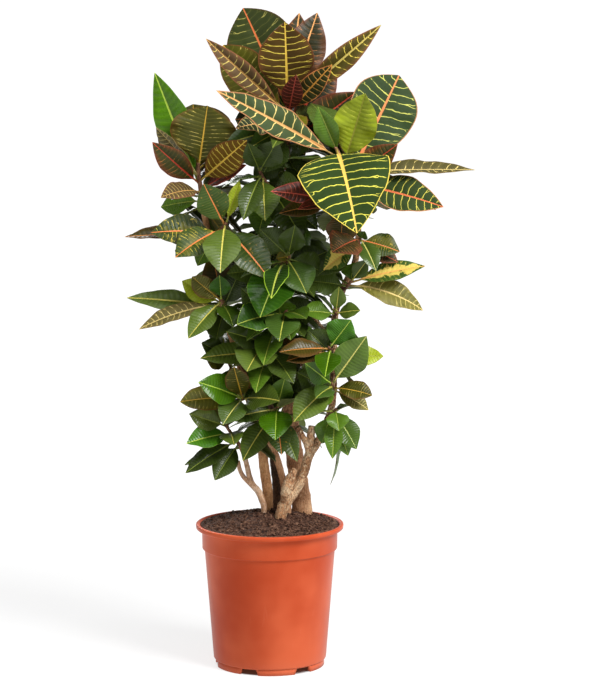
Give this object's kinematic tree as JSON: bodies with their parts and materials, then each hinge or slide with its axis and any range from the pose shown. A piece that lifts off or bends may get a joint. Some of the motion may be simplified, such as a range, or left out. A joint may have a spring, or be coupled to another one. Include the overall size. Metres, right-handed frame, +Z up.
{
  "type": "potted croton",
  "caption": "Free-standing potted croton: bare woody stems and broad, coloured, leathery leaves in tiers, in a tapered plastic nursery pot filled with soil.",
  "frame": {"origin": "centre of the pot's underside, on the surface that the plant stands on", "axes": "+Z up along the pot's axis; -Y is the plant's front, the side in the picture; +X is to the right seen from the front"},
  "size_m": [0.4861, 0.3751, 0.9299],
  "materials": {
    "pot": "satin terracotta-coloured moulded plastic, slightly scuffed",
    "soil": "moist, crumbly dark brown potting mix of bark and peat",
    "bark": "light brown, finely cracked bark with leaf scars",
    "dark_bark": "dark brown bark with leaf scars",
    "bronze_leaf": "glossy olive and bronze leaf with yellow and orange veins",
    "variegated_leaf": "glossy green leaf with yellow veins, flecks and margin, and an orange midrib",
    "green_leaf": "glossy green leaf with a yellow-green midrib",
    "dark_leaf": "glossy dark green leaf with a pale midrib",
    "red_leaf": "glossy red-brown leaf mottled with green"
  },
  "bodies": {
    "root": {"pot": "pot", "soil": "soil", "stem_rear": "bark", "stem_left": "bark", "stem_centre": "bark", "stem_dark": "dark_bark", "stem_inner": "bark", "stem_front": "bark", "shoot_top": "bronze_leaf", "shoot_right": "variegated_leaf", "shoot_left": "bronze_leaf", "shoot_left_middle": "variegated_leaf", "shoot_crown_inner": "dark_leaf", "shoot_right_inner": "red_leaf", "shoot_node": "green_leaf", "shoot_centre_upper": "green_leaf", "shoot_centre": "dark_leaf", "shoot_centre_lower": "dark_leaf", "shoot_right_middle": "bronze_leaf", "shoot_right_fork": "variegated_leaf", "shoot_right_twig": "green_leaf", "shoot_right_lower": "green_leaf", "shoot_right_low": "green_leaf", "shoot_right_base": "green_leaf", "shoot_inner": "green_leaf", "shoot_centre_left": "green_leaf", "shoot_left_twig": "dark_leaf", "shoot_left_low": "green_leaf", "shoot_rear_high": "dark_leaf", "shoot_rear_left": "dark_leaf", "shoot_rear_middle": "dark_leaf", "shoot_rear_right": "dark_leaf", "shoot_rear_low": "dark_leaf"}
  },
  "joints": []
}
